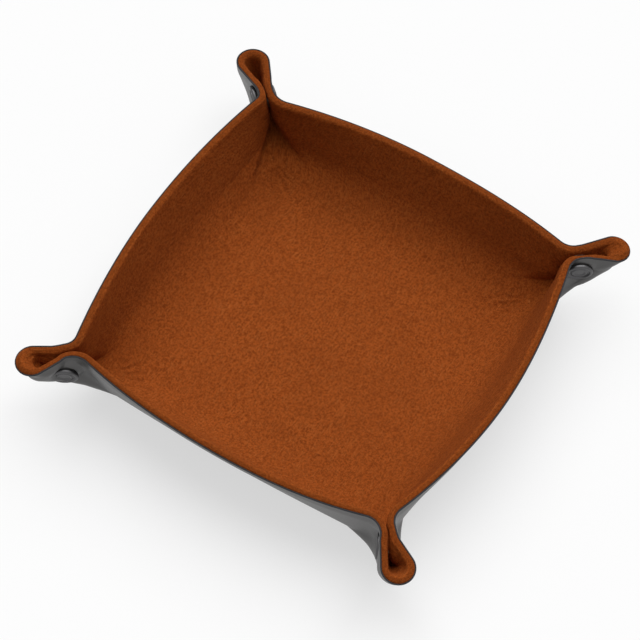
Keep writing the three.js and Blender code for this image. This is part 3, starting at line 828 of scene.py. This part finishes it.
def turned(name, profile, base, axis):
    """A profile of radius and height carried round an axis; its first and last points are the two poles."""
    profile = np.array(profile, float)
    aside = np.cross(axis, (0.0, 0.0, 1.0))
    aside /= np.linalg.norm(aside)
    other = np.cross(axis, aside)
    angle = np.linspace(0, 2 * np.pi, ROUND_STEPS, endpoint=False)
    circle = np.cos(angle)[:, None] * aside + np.sin(angle)[:, None] * other
    body = profile[1:-1, 0, None, None] * circle + profile[1:-1, 1, None, None] * axis
    poles = profile[[0, -1], 1, None] * axis
    points = (np.concatenate([body.reshape(-1, 3), poles]) + base) * MM
    index = np.arange(len(body) * ROUND_STEPS).reshape(len(body), ROUND_STEPS)
    after = np.roll(index, -1, axis=1)
    quads = np.stack([index[:-1], after[:-1], after[1:], index[1:]], axis=-1).reshape(-1, 4)
    foot = np.stack([after[0], index[0], np.full(ROUND_STEPS, index.size)], axis=-1)
    head = np.stack([index[-1], after[-1], np.full(ROUND_STEPS, index.size + 1)], axis=-1)
    mesh = bpy.data.meshes.new(name)
    mesh.from_pydata(points.tolist(), [], quads.tolist() + foot.tolist() + head.tolist())
    mesh.shade_smooth()
    mesh.set_sharp_from_angle(angle=SHARP_EDGE)
    return place(name, mesh)


metal = {"gunmetal": [], "stud_metal": []}
for corner, corner_name in enumerate(CORNERS):
    for kind, profile in PROFILES.items():
        side = CAP_SIDE[corner] if kind in ("cap", "socket") else -CAP_SIDE[corner]
        seat, normal = studs[corner, side]
        outward = -normal if FACE[kind] < 0 else normal
        piece = turned(f"{kind}_{corner_name}", profile, seat + FACE[kind] * normal, outward)
        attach(piece, f"ear_{ply_name(corner, side)}")
        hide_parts(f"snap_{kind}_{corner_name}")
        finish = "gunmetal" if kind in ("cap", "post") else "stud_metal"
        metal[finish].append(piece)
print("metal pieces", {finish: len(made) for finish, made in metal.items()})

# %% [markdown]
# ## Finishes as arithmetic
#
# A finish is a sum of simple patterns. The small class below lets sockets be added and
# multiplied like numbers, and each sign adds the node that does it, so that a finish
# reads as a formula. Cloth patterns read the flat sheet's own coordinates, which were
# stored with the points, so they stay on the cloth and run on from piece to piece.

# %% Sockets that do sums
class Wire:
    """A shader socket: an operator on it adds the Math node for that sum."""

    def __init__(self, tree, socket=None):
        self.tree = tree
        self.socket = socket

    def add(self, kind, settings=None, sockets=None, out=0):
        """Adds a node of a kind: its settings first, then a value or a link for each socket."""
        node = self.tree.nodes.new(kind)
        for key, value in (settings or {}).items():
            setattr(node, key, value)
        for key, value in (sockets or {}).items():
            if isinstance(value, Wire):
                self.tree.links.new(value.socket, node.inputs[key])
            else:
                node.inputs[key].default_value = value
        return Wire(self.tree, node.outputs[out] if node.outputs else None)

    def math(self, operation, a, b):
        """The node that does one sum on two values."""
        return self.add("ShaderNodeMath", {"operation": operation}, {0: a, 1: b})

    def __add__(self, other):
        return self.math("ADD", self, other)

    def __sub__(self, other):
        return self.math("SUBTRACT", self, other)

    def __rsub__(self, other):
        return self.math("SUBTRACT", other, self)

    def __mul__(self, other):
        return self.math("MULTIPLY", self, other)

    __radd__ = __add__
    __rmul__ = __mul__

    def between(self, low, high):
        """This value brought to 0 at low and 1 at high, eased and held there."""
        limits = {"Value": self, "From Min": low, "From Max": high}
        return self.add("ShaderNodeMapRange", {"interpolation_type": "SMOOTHSTEP"}, limits)

    def tint(self, a, b):
        """Colour a where this is 0 and colour b where it is 1."""
        return self.add("ShaderNodeMix", {"data_type": "RGBA"}, {0: self, 6: a, 7: b}, out=2)

    def noise(self, scale, detail, rough):
        """Cloudy noise read at this vector."""
        values = {"Vector": self, "Scale": scale, "Detail": detail, "Roughness": rough}
        return self.add("ShaderNodeTexNoise", {}, values)

    def turned(self, angle, stretch):
        """This vector turned about its third axis and stretched."""
        values = {"Vector": self, "Rotation": (0.0, 0.0, angle), "Scale": stretch}
        return self.add("ShaderNodeMapping", {}, values)

    def bump(self, strength, distance):
        """A normal that leans as if this were the surface's height, times a distance in metres."""
        values = {"Strength": strength, "Distance": distance, "Height": self}
        return self.add("ShaderNodeBump", {}, values)

    def stored(self, name, out):
        """A value that was stored with the mesh's points."""
        return self.add("ShaderNodeAttribute", {"attribute_name": name}, {}, out=out)

    def shown(self):
        """1 on rays from the camera and on mirrored rays, and 0 on those that only carry light."""
        seen = self.add("ShaderNodeLightPath", {}, {}, out="Is Camera Ray")
        mirrored = Wire(self.tree, seen.socket.node.outputs["Is Glossy Ray"])
        return self.math("MAXIMUM", seen, mirrored)


def new_finish(name, pieces_of):
    """An empty material on every piece of a list, and the wire that starts its nodes."""
    made = bpy.data.materials.new(name)
    made.use_nodes = True
    made.node_tree.nodes.clear()
    for piece in pieces_of:
        piece.data.materials.append(made)
    return Wire(made.node_tree)


def surface(wire, **sockets):
    """The shader and the material's output; keys name the shader's sockets with spaces for underscores."""
    values = {key.replace("_", " "): value for key, value in sockets.items()}
    shader = wire.add("ShaderNodeBsdfPrincipled", {}, values)
    wire.add("ShaderNodeOutputMaterial", {}, {"Surface": shader})


print("what a wire can do", [name for name in vars(Wire) if not name.startswith("_")])

# %% [markdown]
# ## Felt
#
# Wool felt is a mat of crossing fibres: seen close it is mottled at about a millimetre,
# with paler hairs lying in every direction. Two noises make the mottling, three stretched
# ones make the hairs, and a slow one lets the dye vary over the sheet. The cut edge is
# painted a little darker, as painted shade that dims the light the rounded rim catches.

# %% Felt finish
FELT_DARK, FELT_PALE = (0.168, 0.034, 0.0050, 1), (0.350, 0.080, 0.0138, 1)
FELT_HAIR = (0.50, 0.150, 0.034, 1)
FELT_DYE = (0.21, 0.046, 0.0080, 1)
# Colour of the felt's cut edge: painted shade on the rounded rim.
FELT_CUT_SHADE = (0.13, 0.028, 0.0045, 1)
FELT_SHEEN = (1.0, 0.55, 0.25, 1)
HAIR_ANGLES = (0.35, 1.45, 2.55)
HAIR_STRETCH = (1.0, 0.13, 1.0)

wire = new_finish("felt", pieces["felt"])
cloth = wire.stored("cloth", "Vector")
mottle = cloth.noise(1000.0, 3.0, 0.6) * 0.6 + cloth.noise(2600.0, 2.0, 0.6) * 0.4
hairs = 0.0
for angle in HAIR_ANGLES:
    hairs = hairs + cloth.turned(angle, HAIR_STRETCH).noise(1900.0, 2.0, 0.5).between(0.56, 0.70)
slow = cloth.noise(38.0, 2.0, 0.5)
shade = mottle.between(0.38, 0.62).tint(FELT_DARK, FELT_PALE)
shade = (hairs * 0.26).tint(shade, FELT_HAIR)
shade = (slow.between(0.3, 0.7) * 0.22).tint(shade, FELT_DYE)
# The cut edge is painted darker: painted shade that dims the light caught on the rounded rim.
shade = (wire.stored("cut", "Fac") * 0.4).tint(shade, FELT_CUT_SHADE)
relief = (mottle + hairs * 0.25).bump(0.75, 0.0007)
surface(
    wire, Base_Color=shade, Roughness=0.95, Normal=relief, Specular_IOR_Level=0.04,
    Sheen_Weight=0.012, Sheen_Roughness=0.5, Sheen_Tint=FELT_SHEEN,
)
print("felt nodes", len(wire.tree.nodes))

# %% [markdown]
# ## Leather and metal
#
# The backing is thin black leather with a satin face: dark, with a fine pebble and slightly
# uneven gloss. Caps and posts are dark plated metal, sockets and studs dull nickel; both
# are plain metals whose roughness wanders a little.

# %% Leather, gunmetal and nickel
LEATHER_DARK, LEATHER_PALE = (0.030, 0.0275, 0.026, 1), (0.048, 0.044, 0.042, 1)
LEATHER_CUT = (0.010, 0.010, 0.012, 1)
METALS = {"gunmetal": ((0.085, 0.083, 0.085, 1), 0.30), "stud_metal": ((0.40, 0.38, 0.35, 1), 0.28)}
SCRATCH_STRETCH = (1.0, 0.05, 1.0)

wire = new_finish("leather", pieces["leather"])
cloth = wire.stored("cloth", "Vector")
cut = wire.stored("cut", "Fac")
grain = wire.add("ShaderNodeTexVoronoi", {"feature": "SMOOTH_F1"}, {"Vector": cloth, "Scale": 1100.0})
fine = cloth.noise(2600.0, 2.0, 0.6)
slow = cloth.noise(60.0, 3.0, 0.6)
shade = slow.between(0.3, 0.7).tint(LEATHER_DARK, LEATHER_PALE)
shade = cut.tint(shade, LEATHER_CUT)
gloss = 0.34 + 0.10 * slow + 0.05 * fine + 0.6 * cut
relief = (grain * 0.8 + fine * 0.3).bump(0.30, 0.00022)
surface(wire, Base_Color=shade, Roughness=gloss, Normal=relief, Specular_IOR_Level=0.9)

for finish, (tone, rough) in METALS.items():
    wire = new_finish(finish, metal[finish])
    spot = wire.add("ShaderNodeTexCoord", {}, {}, out="Object")
    haze = spot.noise(900.0, 3.0, 0.6)
    scratch = spot.turned(0.6, SCRATCH_STRETCH).noise(2600.0, 2.0, 0.5)
    surface(wire, Base_Color=tone, Metallic=1.0, Roughness=rough + 0.10 * haze + 0.06 * scratch)
print("finishes", ["felt", "leather", *METALS])

# %% [markdown]
# ## The ground
#
# The photograph is a plain studio shot on white. A matt ground alone would come out grey
# wherever the light is weak, so to the camera it also glows a little: the white stays
# white, and the tray's own shade still darkens it.

# %% White ground
GROUND_HALF = 4.0
GROUND_DROP = 0.0002
GROUND_MATT = (0.95, 0.95, 0.95, 1)
GROUND_GLOW = 0.96
GROUND_LIFT = 0.62
WHITE = (1, 1, 1, 1)

mesh = bpy.data.meshes.new("ground")
square = np.array([(-1, -1), (1, -1), (1, 1), (-1, 1)]) * GROUND_HALF
mesh.from_pydata([(x, y, -GROUND_DROP) for x, y in square.tolist()], [], [(0, 1, 2, 3)])
table = place("ground", mesh)
wire = new_finish("white_ground", [table])
matt = wire.add("ShaderNodeBsdfDiffuse", {}, {"Color": GROUND_MATT})
glow = wire.add("ShaderNodeEmission", {}, {"Color": WHITE, "Strength": GROUND_GLOW})
mixed = wire.add("ShaderNodeMixShader", {}, {0: GROUND_LIFT * wire.shown(), 1: matt, 2: glow})
wire.add("ShaderNodeOutputMaterial", {}, {"Surface": mixed})
print("ground, m", 2 * GROUND_HALF)

# %% [markdown]
# ## The light
#
# The light is even from all round, with a broad soft one from above and behind. A
# wide sun gives the same strength over the whole ground, where a lamp close by would fade
# towards the edges. The sky is dim to the cloth and white to the camera.

# %% Sky and soft sun
SKY_LIGHT = 0.34
SKY_LOW, SKY_HIGH = 0.12, 1.3
SUN_LIGHT = 2.55
SUN_WIDTH = np.radians(70)
SUN_FROM = Vector((-0.18, 0.46, 0.87))

world = bpy.data.worlds.new("studio")
world.use_nodes = True
world.node_tree.nodes.clear()
bpy.context.scene.world = world
wire = Wire(world.node_tree)
way = wire.add("ShaderNodeTexCoord", {}, {}, out="Generated")
high = way.add("ShaderNodeSeparateXYZ", {}, {"Vector": way}, out="Z").between(-0.1, 1.0)
light = SKY_LIGHT * (SKY_LOW + SKY_HIGH * high)
strength = light + wire.shown() * (1 - light)
sky = wire.add("ShaderNodeBackground", {}, {"Color": WHITE, "Strength": strength})
wire.add("ShaderNodeOutputWorld", {}, {"Surface": sky})

lamp = bpy.data.lights.new("soft_sun", "SUN")
lamp.energy = SUN_LIGHT
lamp.angle = SUN_WIDTH
sun = place("soft_sun", lamp)
sun.rotation_mode = "QUATERNION"
sun.rotation_quaternion = SUN_FROM.to_track_quat("Z", "Y")
print("sun's width, degrees", round(float(np.degrees(SUN_WIDTH)), 1))

# %% [markdown]
# ## The camera
#
# The photograph was taken from high in front, turned about a quarter of a right angle
# round the tray and tilted slightly. A long lens far off keeps the far wall almost as
# long as the near one.

# %% Camera
AZIMUTH, ELEVATION, ROLL = np.radians((25.316, 58.88, 6.907))
DISTANCE = 1.4785
FAR_CLIP = 50.0
SENSOR = 36.0
PHOTO_WIDTH = 640
FOCAL = 3324.72 / PHOTO_WIDTH
MIDDLE_SHIFT = (-2.093 / PHOTO_WIDTH, 25.693 / PHOTO_WIDTH)

back = np.array([
    np.sin(AZIMUTH) * np.cos(ELEVATION),
    -np.cos(AZIMUTH) * np.cos(ELEVATION),
    np.sin(ELEVATION),
])
level = np.array([np.cos(AZIMUTH), np.sin(AZIMUTH), 0.0])
upward = np.cross(back, level)
right = level * np.cos(ROLL) + upward * np.sin(ROLL)
up = upward * np.cos(ROLL) - level * np.sin(ROLL)

lens = bpy.data.cameras.new("camera")
lens.sensor_width = SENSOR
lens.lens = FOCAL * SENSOR
lens.shift_x, lens.shift_y = MIDDLE_SHIFT
lens.clip_end = FAR_CLIP
camera = place("camera", lens)
pose = np.eye(4)
pose[:3, :4] = np.stack([right, up, back, back * DISTANCE], axis=1)
camera.matrix_world = Matrix(pose.tolist())
bpy.context.scene.camera = camera
bpy.context.scene.view_settings.view_transform = "Standard"
print("lens, mm", round(lens.lens, 1))

# %% [markdown]
